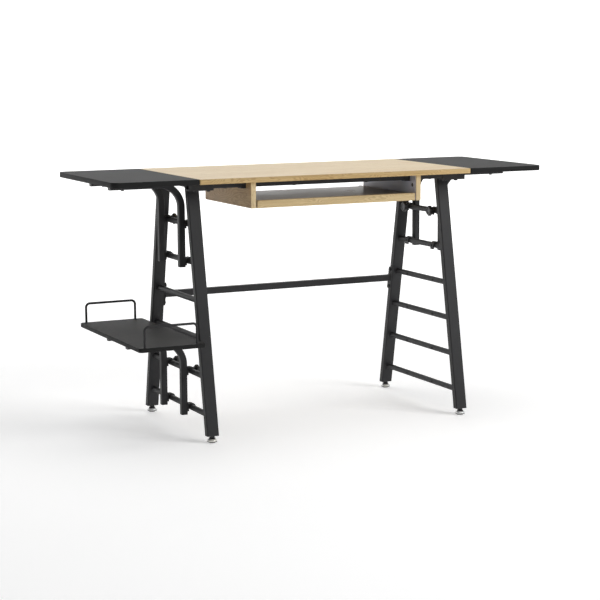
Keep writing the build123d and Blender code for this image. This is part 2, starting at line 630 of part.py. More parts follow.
def wire_guard(y):
    """Wire bail that keeps things from sliding off the lower shelf's end."""
    foot_z = SHELF_TOP_Z - GUARD_SINK
    path = FilletPolyline((GUARD_X0, y, foot_z), (GUARD_X0, y, GUARD_TOP_Z),
                          (GUARD_X1, y, GUARD_TOP_Z), (GUARD_X1, y, foot_z), radius=GUARD_BEND)
    section = Plane(origin=(GUARD_X0, y, foot_z)) * Circle(GUARD_R)
    return sweep(section, path=path)


lower_shelf = board(SHELF_X0, SHELF_X1, SHELF_D / 2, shelf_under, SHELF_TOP_Z, SHELF_ROUND, SHELF_ROUND)
guard_holes = [rod((x, y, SHELF_TOP_Z + 1), (0, 0, -1), GUARD_R + HOLE_GAP, GUARD_SINK + 1)
               for x in (GUARD_X0, GUARD_X1) for y in (-GUARD_Y, GUARD_Y)]
lower_shelf = cut(lower_shelf, guard_holes)
shelf_unit("lower_shelf", True, lower_shelf, shelf_under, LOWER_FOOT_Z, LOWER_ARM_X, 0, LOWER_SCREW_XS)
nodes["lower_shelf_guard_front"] = flip_x(wire_guard(-GUARD_Y))
nodes["lower_shelf_guard_rear"] = flip_x(wire_guard(GUARD_Y))

# ---------------------------------------------------------------- one STEP file per node
os.makedirs("parts", exist_ok=True)
for name, shape in nodes.items():
    export_step(shape, os.path.join("parts", name + ".step"))
print(len(nodes), "nodes")
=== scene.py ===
"""Looks of the craft and drafting desk: materials, welds, edge bands, feet, slides, knobs, studio.

Everything is in metres, in the CAD model's frame: +Z up, +X right, the user on the -Y side.
Small sizes and profiles are written in millimetres and become metres through MM or in_mm.
"""
import json
from math import cos, pi, radians, sin

import bpy
from mathutils import Matrix, Vector


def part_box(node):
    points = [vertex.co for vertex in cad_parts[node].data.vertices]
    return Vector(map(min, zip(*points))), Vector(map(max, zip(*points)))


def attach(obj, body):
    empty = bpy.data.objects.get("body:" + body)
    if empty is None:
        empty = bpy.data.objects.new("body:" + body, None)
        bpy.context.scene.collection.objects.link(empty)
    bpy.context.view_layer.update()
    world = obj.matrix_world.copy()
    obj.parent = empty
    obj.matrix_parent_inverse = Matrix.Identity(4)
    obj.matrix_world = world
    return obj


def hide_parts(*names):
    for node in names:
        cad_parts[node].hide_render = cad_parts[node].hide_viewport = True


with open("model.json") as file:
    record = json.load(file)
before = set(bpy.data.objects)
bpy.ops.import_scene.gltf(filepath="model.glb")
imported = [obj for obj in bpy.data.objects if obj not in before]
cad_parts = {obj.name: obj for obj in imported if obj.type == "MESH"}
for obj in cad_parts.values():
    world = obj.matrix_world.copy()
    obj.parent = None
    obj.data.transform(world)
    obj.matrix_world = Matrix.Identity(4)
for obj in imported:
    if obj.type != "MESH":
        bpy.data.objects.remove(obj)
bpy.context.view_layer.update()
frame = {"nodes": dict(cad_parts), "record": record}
NODES = frame["nodes"]

MM = 0.001
SHELVES = ("left_side", "right_side", "lower_shelf")
SIDES = ((-1, "left"), (1, "right"))
SHARP_ANGLE = radians(42)

# Sockets of the Mix node while it mixes colours.
MIX_FACTOR, MIX_FIRST, MIX_SECOND, MIX_RESULT = 0, 6, 7, 2

# Noise cells per metre in wood, along the grain and twice across it.
DRIFT_CELLS = (2.2, 9, 9)
WANDER_CELLS = (3.0, 11, 11)
FIBRE_CELLS = (14, 900, 900)
STREAK_CELLS = (4.5, 190, 190)
PORE_CELLS = (70, 1500, 1500)

# Noise cells per metre in the tray's print.
PRINT_STREAK_CELLS = (9, 160, 160)
PRINT_FLECK_CELLS = (60, 900, 900)


# ------------------------------------------------------------------ node trees
class Material:
    """A Principled material with short calls for the nodes that feed it."""

    def __init__(self, name, **plain):
        self.material = bpy.data.materials.new(name)
        self.material.use_nodes = True
        self.tree = self.material.node_tree
        self.shader = self.tree.nodes["Principled BSDF"]
        for key, value in plain.items():
            self.shader.inputs[key.replace("_", " ")].default_value = value
        self.place = self.node("ShaderNodeTexCoord").outputs["Object"]

    def node(self, kind, **settings):
        made = self.tree.nodes.new(kind)
        for key, value in settings.items():
            setattr(made, key, value)
        return made

    def feed(self, socket, value):
        """Links another node's output to a socket, or sets the socket to a plain value."""
        if isinstance(value, bpy.types.NodeSocket):
            self.tree.links.new(value, socket)
        else:
            socket.default_value = value

    def stretched(self, scale, place=None, offset=(0, 0, 0), turn=(0, 0, 0)):
        """Coordinates after a turn, a shift and a scale for each axis."""
        made = self.node("ShaderNodeMapping")
        self.feed(made.inputs["Vector"], place or self.place)
        made.inputs["Scale"].default_value = scale
        made.inputs["Location"].default_value = offset
        made.inputs["Rotation"].default_value = turn
        return made.outputs["Vector"]

    def noise(self, scale, vector=None, detail=4.0, rough=0.55):
        made = self.node("ShaderNodeTexNoise")
        self.feed(made.inputs["Vector"], vector or self.place)
        made.inputs["Scale"].default_value = scale
        made.inputs["Detail"].default_value = detail
        made.inputs["Roughness"].default_value = rough
        return made.outputs["Fac"]

    def streaks(self, cells, place=None, detail=4.0, rough=0.55):
        """Noise with its own number of cells per metre along each axis."""
        return self.noise(1.0, self.stretched(cells, place), detail, rough)

    def cells(self, scale, **settings):
        """Voronoi cells; gives all the outputs of the node."""
        made = self.node("ShaderNodeTexVoronoi", **settings)
        made.inputs["Scale"].default_value = scale
        self.feed(made.inputs["Vector"], self.place)
        return made.outputs

    def math(self, operation, first, second=0.0):
        made = self.node("ShaderNodeMath", operation=operation)
        self.feed(made.inputs[0], first)
        self.feed(made.inputs[1], second)
        return made.outputs[0]

    def times(self, first, second):
        return self.math("MULTIPLY", first, second)

    def plus(self, first, second):
        return self.math("ADD", first, second)

    def band(self, value, low, high):
        """Smooth step from 0 to 1 as value goes from low to high."""
        made = self.node("ShaderNodeMapRange", interpolation_type="SMOOTHSTEP")
        made.inputs["From Min"].default_value = low
        made.inputs["From Max"].default_value = high
        self.feed(made.inputs["Value"], value)
        return made.outputs["Result"]

    def mix(self, factor, first, second):
        made = self.node("ShaderNodeMix", data_type="RGBA")
        self.feed(made.inputs[MIX_FACTOR], factor)
        self.feed(made.inputs[MIX_FIRST], first)
        self.feed(made.inputs[MIX_SECOND], second)
        return made.outputs[MIX_RESULT]

    def paint(self, colour, roughness):
        self.feed(self.shader.inputs["Base Color"], colour)
        self.feed(self.shader.inputs["Roughness"], roughness)

    def bump(self, height, strength, distance):
        made = self.node("ShaderNodeBump")
        made.inputs["Strength"].default_value = strength
        made.inputs["Distance"].default_value = distance
        self.feed(made.inputs["Height"], height)
        self.feed(self.shader.inputs["Normal"], made.outputs["Normal"])

    def axes(self, place=None):
        """The X, Y and Z outputs of some coordinates."""
        made = self.node("ShaderNodeSeparateXYZ")
        self.feed(made.inputs[0], place or self.place)
        return made.outputs


def rgb(r, g, b):
    return (r, g, b, 1.0)


def shade(base, factor):
    """A base colour made darker or paler."""
    return rgb(*[c * factor for c in base])


# ------------------------------------------------------------------ finishes
def wood(name, tones, along="X", figure=1.0, rings=60.0, shift=(0, 0, 0)):
    """Straight-grained ash print: cathedral figure, fibres, pores and slow colour drift.

    tones are the pale, middle and dark colours, figure is the strength of the pattern, rings
    counts growth rings per metre, and shift moves the pattern so that no two pieces match.
    """
    pale, mid, dark = tones
    pore_tone = rgb(dark[0] * 0.45, dark[1] * 0.4, dark[2] * 0.35)
    m = Material(name, Specular_IOR_Level=0.25)
    turn = {"X": (0, 0, 0), "Y": (0, 0, pi / 2), "Z": (0, pi / 2, 0)}[along]
    grain = m.stretched((1, 1, 1), turn=turn, offset=shift)
    drift = m.streaks(DRIFT_CELLS, grain, detail=3)
    wander = m.streaks(WANDER_CELLS, grain, detail=4, rough=0.5)
    x, y, z = m.axes(grain)
    across = m.times(m.plus(y, z), rings)
    across = m.plus(across, m.times(wander, 0.28 * rings))
    across = m.plus(across, m.times(x, 2.1))
    wave = m.times(m.plus(m.math("SINE", m.times(across, 2 * pi)), 1.0), 0.5)
    late = m.band(wave, 0.35, 0.98)
    fibre = m.streaks(FIBRE_CELLS, grain, detail=3, rough=0.6)
    streak = m.streaks(STREAK_CELLS, grain, detail=4, rough=0.6)
    pores = m.band(m.streaks(PORE_CELLS, grain, detail=1), 0.62, 0.72)
    colour = m.mix(m.band(drift, 0.32, 0.70), pale, mid)
    colour = m.mix(m.times(late, 0.34 * figure), colour, dark)
    colour = m.mix(m.times(m.band(streak, 0.42, 0.78), 0.30 * figure), colour, dark)
    colour = m.mix(m.times(m.band(fibre, 0.40, 0.75), 0.16), colour, dark)
    colour = m.mix(m.times(pores, 0.20), colour, pore_tone)
    satin = m.plus(0.40, m.times(fibre, 0.10))
    m.paint(colour, m.plus(satin, m.times(pores, 0.1)))
    relief = m.math("SUBTRACT", m.times(fibre, 0.35), pores)
    m.bump(relief, 0.10, 0.0004)
    return m.material


def powder_coat(name, base, roughness=0.5, grain=1500.0):
    """Fine-texture powder coat: tiny orange peel, slight clouding and soft gloss changes."""
    m = Material(name, Specular_IOR_Level=0.32)
    peel = m.noise(grain, detail=3, rough=0.5)
    cloud = m.noise(9.0, detail=5, rough=0.6)
    speck = m.band(m.noise(grain * 2.3, detail=1), 0.60, 0.75)
    colour = m.mix(m.band(cloud, 0.3, 0.7), shade(base, 0.86), shade(base, 1.14))
    colour = m.mix(m.times(speck, 0.35), colour, shade(base, 1.9))
    gloss = m.plus(roughness - 0.06, m.times(cloud, 0.08))
    m.paint(colour, m.plus(gloss, m.times(peel, 0.06)))
    m.bump(peel, 0.22, 0.0003)
    return m.material


def melamine(name, base, roughness):
    """Black melamine board with a very fine pearl texture and faint handling haze."""
    m = Material(name, Specular_IOR_Level=0.06)
    pearl = m.noise(2600.0, detail=2, rough=0.5)
    pits = m.cells(1100.0, feature="SMOOTH_F1")["Distance"]
    haze = m.noise(4.0, m.stretched((1, 1.6, 1)), detail=6, rough=0.62)
    colour = m.mix(m.band(haze, 0.3, 0.72), shade(base, 0.88), shade(base, 1.13))
    colour = m.mix(m.times(m.band(pearl, 0.5, 0.75), 0.4), colour, shade(base, 1.5))
    m.paint(colour, m.plus(roughness - 0.06, m.times(haze, 0.12)))
    m.bump(m.plus(pits, m.times(pearl, 0.5)), 0.12, 0.0002)
    return m.material


def moulded_plastic(name, base):
    """Moulded plastic with a fine spark-eroded skin and faint flow marks."""
    m = Material(name, Specular_IOR_Level=0.45)
    spark = m.noise(2200.0, detail=2)
    flow = m.noise(60.0, m.stretched((1, 1, 3)), detail=4)
    colour = m.mix(m.band(flow, 0.3, 0.7), shade(base, 0.85), shade(base, 1.2))
    m.paint(colour, m.plus(0.37, m.times(flow, 0.12)))
    m.bump(spark, 0.18, 0.0002)
    return m.material


def plated_steel(name, base, roughness, along, spangle=0.5, metallic=1.0, shade_from=None):
    """Zinc plate on rolled steel: drawn lines, faint spangle and a yellowish-blue tint drift.

    along stretches the drawn lines on each axis, and shade_from gives the Y range over which the
    plate is darkened from front to rear as painted shade, deeper inside the housing.
    """
    m = Material(name, Metallic=metallic)
    lines = m.streaks(tuple(30.0 * a for a in along), detail=3, rough=0.6)
    crystals = m.cells(260.0)["Color"]
    tint = m.noise(25.0, detail=4)
    cool = rgb(base[0] * 0.95, base[1] * 0.98, base[2] * 1.05)
    warm = rgb(base[0] * 1.05, base[1] * 1.02, base[2] * 0.94)
    colour = m.mix(m.band(tint, 0.3, 0.7), cool, warm)
    grey = m.axes(crystals)[0]
    colour = m.mix(m.times(grey, 0.25 * spangle), colour, shade(base, 0.72))
    if shade_from:
        # Painted shade: the plate is darkened from its front edge towards the rear, deeper in the
        # housing.
        painted_shade = m.band(m.axes()[1], *shade_from)
        colour = m.mix(m.times(painted_shade, 0.75), colour, shade(base, 0.3))
    m.paint(colour, m.plus(roughness - 0.08, m.times(lines, 0.18)))
    m.bump(lines, 0.08, 0.0002)
    return m.material


def tray_print(name):
    """Satin grey-brown board print with short faint streaks along X."""
    deep, pale = rgb(0.125, 0.100, 0.088), rgb(0.165, 0.135, 0.120)
    dark_streak, light_fleck = rgb(0.085, 0.070, 0.062), rgb(0.230, 0.205, 0.185)
    m = Material(name, Specular_IOR_Level=0.04)
    streak = m.streaks(PRINT_STREAK_CELLS, detail=4, rough=0.6)
    fleck = m.streaks(PRINT_FLECK_CELLS, detail=2)
    cloud = m.noise(5.0, detail=4)
    colour = m.mix(m.band(cloud, 0.3, 0.7), deep, pale)
    colour = m.mix(m.times(m.band(streak, 0.42, 0.75), 0.45), colour, dark_streak)
    colour = m.mix(m.times(m.band(fleck, 0.55, 0.8), 0.35), colour, light_fleck)
    m.paint(colour, m.plus(0.24, m.times(cloud, 0.08)))
    m.bump(fleck, 0.10, 0.0002)
    return m.material


# Pale, middle and dark tones of the wood prints.
TOP_TONES = (rgb(0.840, 0.675, 0.425), rgb(0.790, 0.610, 0.355), rgb(0.570, 0.390, 0.185))
EDGE_TONES = (rgb(0.680, 0.500, 0.250), rgb(0.560, 0.385, 0.165), rgb(0.330, 0.190, 0.065))
# The housing sides' tones are darker than their front band's, partly their own tone and partly
# painted shade on the side faces; the band's paler tones are painted light on the front edge.
SHADED_SIDE_TONES = (rgb(0.480, 0.335, 0.175), rgb(0.380, 0.255, 0.125), rgb(0.200, 0.118, 0.052))
LIT_EDGE_TONES = (rgb(0.700, 0.560, 0.335), rgb(0.640, 0.490, 0.270), rgb(0.430, 0.300, 0.145))
STRIP_TONES = (rgb(0.700, 0.550, 0.310), rgb(0.610, 0.455, 0.230), rgb(0.340, 0.220, 0.095))

MATERIALS = {
    "wood_top": wood("ash_top", TOP_TONES, figure=0.75),
    "wood_front": wood("ash_front", EDGE_TONES, figure=1.4, rings=170.0,
                       shift=(0.31, 0.12, 0.05)),
    "wood_lit_edge": wood("ash_lit_edge", LIT_EDGE_TONES, along="Z", rings=200.0,
                      shift=(0.23, 0.31, 0.07)),
    "wood_strip": wood("ash_strip", STRIP_TONES, figure=1.3, rings=170.0,
                       shift=(0.11, 0.27, 0.02)),
    "wood_side": wood("ash_side_shaded", SHADED_SIDE_TONES, along="Y", figure=1.1, rings=110.0,
                      shift=(0.2, 0.4, 0.1)),
    "tray_laminate": tray_print("tray_laminate"),
    "black_steel": powder_coat("black_powder_coat", (0.021, 0.021, 0.0225)),
    "black_board": melamine("black_melamine", (0.062, 0.062, 0.061), roughness=0.6),
    "board_edge": melamine("black_edge_band", (0.020, 0.020, 0.020), roughness=0.5),
    "black_plastic": moulded_plastic("black_plastic", (0.014, 0.014, 0.015)),
    "black_screw": powder_coat("black_oxide", (0.02, 0.02, 0.021), roughness=0.36, grain=2600.0),
    "zinc_screw": plated_steel("zinc_screw", (0.62, 0.62, 0.60), roughness=0.32,
                               along=(20, 20, 20)),
    # The slide plate is darkened towards its rear as painted shade.
    "slide_steel": plated_steel("slide_zinc", (0.60, 0.60, 0.67), roughness=0.48,
                                along=(20, 1, 20), metallic=0.4, shade_from=(-0.215, -0.13)),
    "foot_zinc": plated_steel("foot_zinc", (0.82, 0.82, 0.81), roughness=0.3,
                              along=(10, 10, 30), spangle=0.2, metallic=0.4),
    "dark_steel": plated_steel("dark_steel", (0.10, 0.10, 0.105), roughness=0.3,
                               along=(10, 10, 30), spangle=0.2),
    "foot_pad": moulded_plastic("foot_pad", (0.42, 0.42, 0.41)),
    "weld": powder_coat("coated_weld", (0.024, 0.024, 0.026), roughness=0.42, grain=900.0),
}

NODE_SLOT = {part["node"]: part["material_slot"] for part in frame["record"]["subparts"]}
NODE_FINISH = {"tray_front_strip": "wood_strip"}
for node_name, node in NODES.items():
    finish = NODE_FINISH.get(node_name, NODE_SLOT[node_name])
    node.data.materials.clear()
    node.data.materials.append(MATERIALS[finish])


# ------------------------------------------------------------------ mesh helpers
def in_mm(pairs):
    """Pairs of millimetres as metres."""
    return [(a * MM, b * MM) for a, b in pairs]


def circle(centre, side, up, radius, segments):
    """Points of a circle in the plane of the unit vectors side and up."""
    turns = [2 * pi * n / segments for n in range(segments)]
    return [centre + side * (radius * cos(t)) + up * (radius * sin(t)) for t in turns]


def rounded_loop(x0, x1, y0, y1, radius, z=0, steps=4):
    """Points round a rounded rectangle at a height, with some steps in each corner."""
    corners = ((x1 - radius, y1 - radius, 0), (x0 + radius, y1 - radius, 1),
               (x0 + radius, y0 + radius, 2), (x1 - radius, y0 + radius, 3))
    points = []
    for cx, cy, quarter in corners:
        for n in range(steps + 1):
            angle = pi / 2 * (quarter + n / steps)
            points.append(Vector((cx + radius * cos(angle), cy + radius * sin(angle), z)))
    return points


class Shape:
    """Collects vertices and faces of several closed pieces for one object."""

    def __init__(self):
        self.verts = []
        self.faces = []

    def grid(self, rings, loop_rings=False):
        """Skins equal closed rings of points; the ends are capped, or joined to each other."""
        base = len(self.verts)
        count = len(rings[0])
        for ring in rings:
            self.verts += [Vector(p) for p in ring]
        total = len(rings)
        spans = total if loop_rings else total - 1
        for i in range(spans):
            for j in range(count):
                a = base + i * count + j
                b = base + i * count + (j + 1) % count
                c = base + ((i + 1) % total) * count + (j + 1) % count
                d = base + ((i + 1) % total) * count + j
                self.faces.append((a, b, c, d))
        if not loop_rings:
            self.faces.append(tuple(base + j for j in reversed(range(count))))
            self.faces.append(tuple(base + (total - 1) * count + j for j in range(count)))

    def lathe(self, profile, place, segments, ripple=None):
        """Turned solid from (radius, height) pairs.

        ripple gives a factor for the radius at an angle and a height.
        """
        rings = []
        for radius, height in profile:
            ring = []
            for n in range(segments):
                angle = 2 * pi * n / segments
                r = radius * (ripple(angle, height) if ripple else 1.0)
                ring.append(place @ Vector((r * cos(angle), r * sin(angle), height)))
            rings.append(ring)
        self.grid(rings)

    def lathe_ring(self, section, place, segments):
        """Turned ring from a closed outline of (radius, height) pairs."""
        rings = []
        for n in range(segments):
            angle = 2 * pi * n / segments
            rings.append([place @ Vector((r * cos(angle), r * sin(angle), h))
                          for r, h in reversed(section)])
        self.grid(rings, loop_rings=True)

    def bead(self, path, radius, segments):
        """Weld bead along a closed path; the radius may be a function of the point's number."""
        total = len(path)
        centre = sum((Vector(p) for p in path), Vector()) / total
        rings = []
        for i, point in enumerate(path):
            point = Vector(point)
            ahead = (Vector(path[(i + 1) % total]) - Vector(path[i - 1])).normalized()
            side = point - centre
            side = (side - ahead * side.dot(ahead)).normalized()
            r = radius(i) if callable(radius) else radius
            rings.append(circle(point, side, ahead.cross(side), r, segments))
        self.grid(rings, loop_rings=True)

    def seam(self, start, end, radius, steps=14):
        """Straight weld bead with rounded ends and a light ripple."""
        start, end = Vector(start), Vector(end)
        ahead = (end - start).normalized()
        side = ahead.orthogonal().normalized()
        rings = []
        for i in range(steps + 1):
            share = i / steps
            swell = 0.12 + 0.88 * min(1.0, 6 * share, 6 * (1 - share))
            r = radius * swell * (1 + 0.09 * sin(5.3 * i))
            rings.append(circle(start.lerp(end, share), side, ahead.cross(side), r, 10))
        self.grid(rings)

    def block(self, first, second, radius, steps, point):
        """Block with rounded corners and stepped or chamfered ends.

        first and second are the section's (low, high) limits, steps are (place, shrink) pairs
        along the block, and point turns (place, first, second) into a position.
        """
        rings = []
        for place, s in steps:
            loop = rounded_loop(first[0] + s, first[1] - s, second[0] + s, second[1] - s, radius)
            rings.append([point(place, p.x, p.y) for p in loop])
        self.grid(rings)

    def done(self, name, finish, body, slot):
        """Makes the object, smooth-shaded, with a finish, riding on a body."""
        mesh = bpy.data.meshes.new(name)
        mesh.from_pydata([tuple(v) for v in self.verts], [], self.faces)
        mesh.validate()
        mesh.update()
        for polygon in mesh.polygons:
            polygon.use_smooth = True
        mesh.set_sharp_from_angle(angle=SHARP_ANGLE)
        obj = bpy.data.objects.new(name, mesh)
        bpy.context.scene.collection.objects.link(obj)
        mesh.materials.append(MATERIALS[finish])
        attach(obj, body)
        return obj


# ------------------------------------------------------------------ places read from the CAD model
leg_low, leg_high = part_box("right_rear_leg")
LEG_W, LEG_D, LEG_ROUND = 37 * MM, 21 * MM, 3 * MM
leg_slope = ((leg_low.y + LEG_D / 2) - (leg_high.y - LEG_D / 2)) / (leg_high.z - leg_low.z)
FRAME_X = (leg_low.x + leg_high.x) / 2


def leg_y(z):
    """Middle of a rear leg at a height."""
    return leg_high.y - LEG_D / 2 + leg_slope * (z - leg_low.z)


rung_low, rung_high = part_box("right_rungs")
RUNG_R = (rung_high.x - rung_low.x) / 2
RUNG_COUNT = 6
RUNG_PITCH = (rung_high.z - rung_low.z - 2 * RUNG_R) / (RUNG_COUNT - 1)
RUNG_HEIGHTS = [rung_low.z + RUNG_R + RUNG_PITCH * n for n in range(RUNG_COUNT)]


# ------------------------------------------------------------------ welds of the ladder frames
WELD_SINK = 0.6 * MM
RUNG_BEAD_OUT = 0.4 * MM
LEG_BEAD_R, STRETCHER_BEAD_R, HOOK_BEAD_R = 1.3 * MM, 1.4 * MM, 1.7 * MM
STRETCHER_ROUND = 2.5 * MM
HOOK_R, HOOK_W = 12.5 * MM, 18 * MM
HOOK_SEAM_DOWN, HOOK_SEAM_UP = 11.5 * MM, 4.5 * MM


def rung_bead_radius(i):
    """Uneven radius of a hand-laid bead at its point number i."""
    return (1.5 + 0.22 * sin(i * 2 * pi / 4.5) + 0.2 * sin(i * 0.21)) * MM


def rung_welds(side):
    """Ring-shaped beads where the rungs meet the legs."""
    shape = Shape()
    steps = 72
    reach = RUNG_R + RUNG_BEAD_OUT
    for z in RUNG_HEIGHTS:
        for end in (-1, 1):
            path = []
            for n in range(steps):
                angle = 2 * pi * n / steps
                height = z + reach * sin(angle)
                inner_face = leg_y(height) - LEG_D / 2
                path.append((side * FRAME_X + reach * cos(angle), end * inner_face, height))
            shape.bead(path, rung_bead_radius, 10)
    return shape


def end_welds(side):
    """Beads at the tops of the legs and round the stretcher's end."""
    shape = Shape()
    middle, half_w = side * FRAME_X, LEG_W / 2
    for end in (-1, 1):
        y = end * leg_y(leg_high.z)
        loop = rounded_loop(middle - half_w, middle + half_w, y - LEG_D / 2, y + LEG_D / 2,
                            LEG_ROUND, leg_high.z - WELD_SINK, 8)
        shape.bead(loop, LEG_BEAD_R, 8)
    low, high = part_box("stretcher")
    x = side * high.x - side * WELD_SINK
    loop = rounded_loop(low.y, high.y, low.z, high.z, STRETCHER_ROUND, steps=8)
    shape.bead([(x, p.x, p.y) for p in loop], STRETCHER_BEAD_R, 8)
    return shape


def hook_welds(prefix):
    """Beads between a shelf's hooks and its bracket tubes."""
    shape = Shape()
    hooks_low, hooks_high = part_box(prefix + "_hooks")
    side = 1 if hooks_low.x > 0 else -1
    tube_low, tube_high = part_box(prefix + "_bracket_front")
    x = (tube_low.x if side > 0 else tube_high.x) + side * WELD_SINK
    top_z = hooks_high.z - HOOK_R
    for z in (top_z, top_z - RUNG_PITCH):
        for y in (hooks_low.y, hooks_low.y + HOOK_W, hooks_high.y - HOOK_W, hooks_high.y):
            shape.seam((x, y, z - HOOK_SEAM_DOWN), (x, y, z + HOOK_SEAM_UP), HOOK_BEAD_R)
    shape.done(prefix + "_hook_welds", "weld", prefix + "_unit", "black_steel")


for side, label in SIDES:
    rung_welds(side).done(label + "_rung_welds", "weld", "desk_frame", "black_steel")
    end_welds(side).done(label + "_end_welds", "weld", "desk_frame", "black_steel")
for prefix in SHELVES:
    hook_welds(prefix)


# ------------------------------------------------------------------ edge bands of the boards
BAND_PROUD, BAND_LAP, BAND_SKIN, BAND_SOFT = 0.25 * MM, 1.3 * MM, 0.04 * MM, 0.8 * MM


def edge_band(node, radii, finish, body, slot):
    """Thin band round a board; radii are the corners at +X+Y, -X+Y, -X-Y and +X-Y."""
    low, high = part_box(node)
    steps = 8
    inset, drop = -0.2 * BAND_SOFT, 0.25 * BAND_SOFT
    section = [(-BAND_LAP, high.z + BAND_SKIN), (-BAND_SOFT, high.z + BAND_SKIN),
               (inset, high.z - drop), (BAND_PROUD, high.z - BAND_SOFT),
               (BAND_PROUD, low.z + BAND_SOFT), (inset, low.z + drop),
               (-BAND_SOFT, low.z - BAND_SKIN), (-BAND_LAP, low.z - BAND_SKIN)]
    corners = ((high.x, high.y, -1, -1), (low.x, high.y, 1, -1),
               (low.x, low.y, 1, 1), (high.x, low.y, -1, 1))
    rings = []
    for quarter, ((corner_x, corner_y, sx, sy), radius) in enumerate(zip(corners, radii)):
        cx, cy = corner_x + sx * radius, corner_y + sy * radius
        for n in range(steps + 1):
            angle = pi / 2 * (quarter + n / steps)
            rings.append([Vector((cx + (radius + out) * cos(angle),
                                  cy + (radius + out) * sin(angle), z)) for out, z in section])
    shape = Shape()
    shape.grid(rings, loop_rings=True)
    shape.done(node + "_edge_band", finish, body, slot)


SHARP, WIDE, SHELF_ROUND = 3 * MM, 24 * MM, 10 * MM
for node, radii, finish, body, slot in (
        ("tabletop", (SHARP,) * 4, "wood_front", "desk_frame", "wood_top"),
        ("right_side_board", (WIDE, SHARP, SHARP, WIDE), "board_edge", "right_side_unit",
         "black_board"),
        ("left_side_board", (SHARP, WIDE, WIDE, SHARP), "board_edge", "left_side_unit",
         "black_board"),
        ("lower_shelf_board", (SHELF_ROUND,) * 4, "board_edge", "lower_shelf_unit",
         "black_board")):
    edge_band(node, radii, finish, body, slot)


def at_y(y, x, z):
    return Vector((x, y, z))


def at_x(x, y, z):
    return Vector((x, y, z))


# Distance behind the front edge and shrink of the front band's sections.
FRONT_BAND_STEPS = in_mm(((0.6, 0.0), (0.0, -0.06), (-0.2, 0.0), (-0.35, 0.4)))
FRONT_BAND_ROUND = 0.5 * MM


def front_band(node):
    """Thin band on the front edge of a tray housing side, paler than the side: painted light on the
    lit front edge.
    """
    low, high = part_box(node)
    steps = [(low.y + back, shrink) for back, shrink in FRONT_BAND_STEPS]
    shape = Shape()
    shape.block((low.x, high.x), (low.z, high.z), FRONT_BAND_ROUND, steps, at_y)
    shape.done(node + "_front_band", "wood_lit_edge", "desk_frame", "wood_side")


for side, label in SIDES:
    front_band(label + "_housing_side")


# ------------------------------------------------------------------ levelling feet
# Profiles are (radius, height) above the floor.
FOOT_PAD = in_mm(((0.3, 0.0), (9.4, 0.0), (10.0, 0.6), (10.6, 1.6), (12.4, 2.6), (14.0, 3.3),
                  (14.0, 4.6), (0.3, 4.6)))
FOOT_RIM = in_mm(((13.2, 3.3), (14.5, 3.4), (15.05, 4.0), (15.1, 5.0), (14.95, 5.7), (14.2, 5.9),
                  (13.2, 5.6)))
FOOT_CUP = in_mm(((0.3, 4.8), (14.6, 4.8), (14.8, 7.6), (14.5, 8.9), (13.6, 9.9), (11.6, 11.0),
                  (8.8, 12.1), (7.0, 12.8), (6.6, 13.2), (0.3, 13.2)))
STEM_FLANGE = in_mm(((0.3, 13.0), (10.1, 13.0), (10.5, 13.4), (10.4, 14.0), (9.2, 14.9),
                     (7.4, 15.6), (0.3, 15.6)))
# The nut's radius is that of its flats; NUT_ROUND says how far each height is turned round.
STEM_NUT = in_mm(((5.6, 14.4), (6.35, 14.5), (6.5, 15.1), (6.5, 18.8), (6.35, 19.4), (5.6, 19.5)))
NUT_ROUND = {14.4: 1.0, 14.5: 0.45, 19.4: 0.45, 19.5: 1.0}
THREAD_START, THREAD_PITCH = 12.6 * MM, 1.25 * MM
THREAD_ROOT, THREAD_CREST = 3.45 * MM, 3.95 * MM
STEM_NECK, STEM_TIP = 3.4 * MM, 2.8 * MM


def nut_flats(angle, height):
    """Factor that turns a circle into a hexagon of that apothem, rounded at its two chamfers."""
    hexagon = 1.0 / cos((angle + pi / 6) % (pi / 3) - pi / 6)
    share = NUT_ROUND.get(round(height / MM, 1), 0.0)
    return hexagon * (1 - share) + share


def foot(label, end):
    """Pad, rim and cup of a levelling foot, and its threaded stem with the flanged nut."""
    name = label + end + "_foot"
    body = name + "_body"
    low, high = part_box(name)
    place = Matrix.Translation(((low.x + high.x) / 2, (low.y + high.y) / 2, low.z))
    pad = Shape()
    pad.lathe(FOOT_PAD, place, 64)
    pad.done(name + "_pad", "foot_pad", body, "foot_zinc")
    rim = Shape()
    rim.lathe_ring(FOOT_RIM, place, 72)
    rim.done(name + "_rim", "dark_steel", body, "foot_zinc")
    cup = Shape()
    cup.lathe(FOOT_CUP, place, 72)
    cup.done(name + "_cup", "foot_zinc", body, "foot_zinc")
    threads = []
    z = THREAD_START
    while z < high.z - low.z - THREAD_PITCH:
        threads += [(THREAD_ROOT, z), (THREAD_CREST, z + 0.45 * THREAD_PITCH),
                    (THREAD_CREST, z + 0.6 * THREAD_PITCH)]
        z += THREAD_PITCH
    stem = Shape()
    stem.lathe(threads + [(STEM_NECK, z), (STEM_TIP, high.z - low.z)], place, 32)
    stem.lathe(STEM_FLANGE, place, 64)
    stem.lathe(STEM_NUT, place, 72, nut_flats)
    stem_piece = stem.done(name + "_stem", "black_screw", body, "foot_zinc")
    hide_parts(name)


for side, label in SIDES:
    for end in ("_front", "_rear"):
        foot(label, end)


# ------------------------------------------------------------------ wire guards and rail ends
# Collar round a guard's wire: (radius, height) above the shelf board.
COLLAR = in_mm(((3.3, -0.3), (6.2, -0.3), (6.4, 0.3), (5.9, 0.9), (4.6, 1.25), (3.3, 1.35)))
# Distance out of the tube's end and shrink of a rail plug's sections.
PLUG_STEPS = in_mm(((-9.0, 1.8), (0.0, 1.8), (0.0, 0.3), (1.2, 0.3), (1.8, 1.1)))
PLUG_ROUND = 2.2 * MM

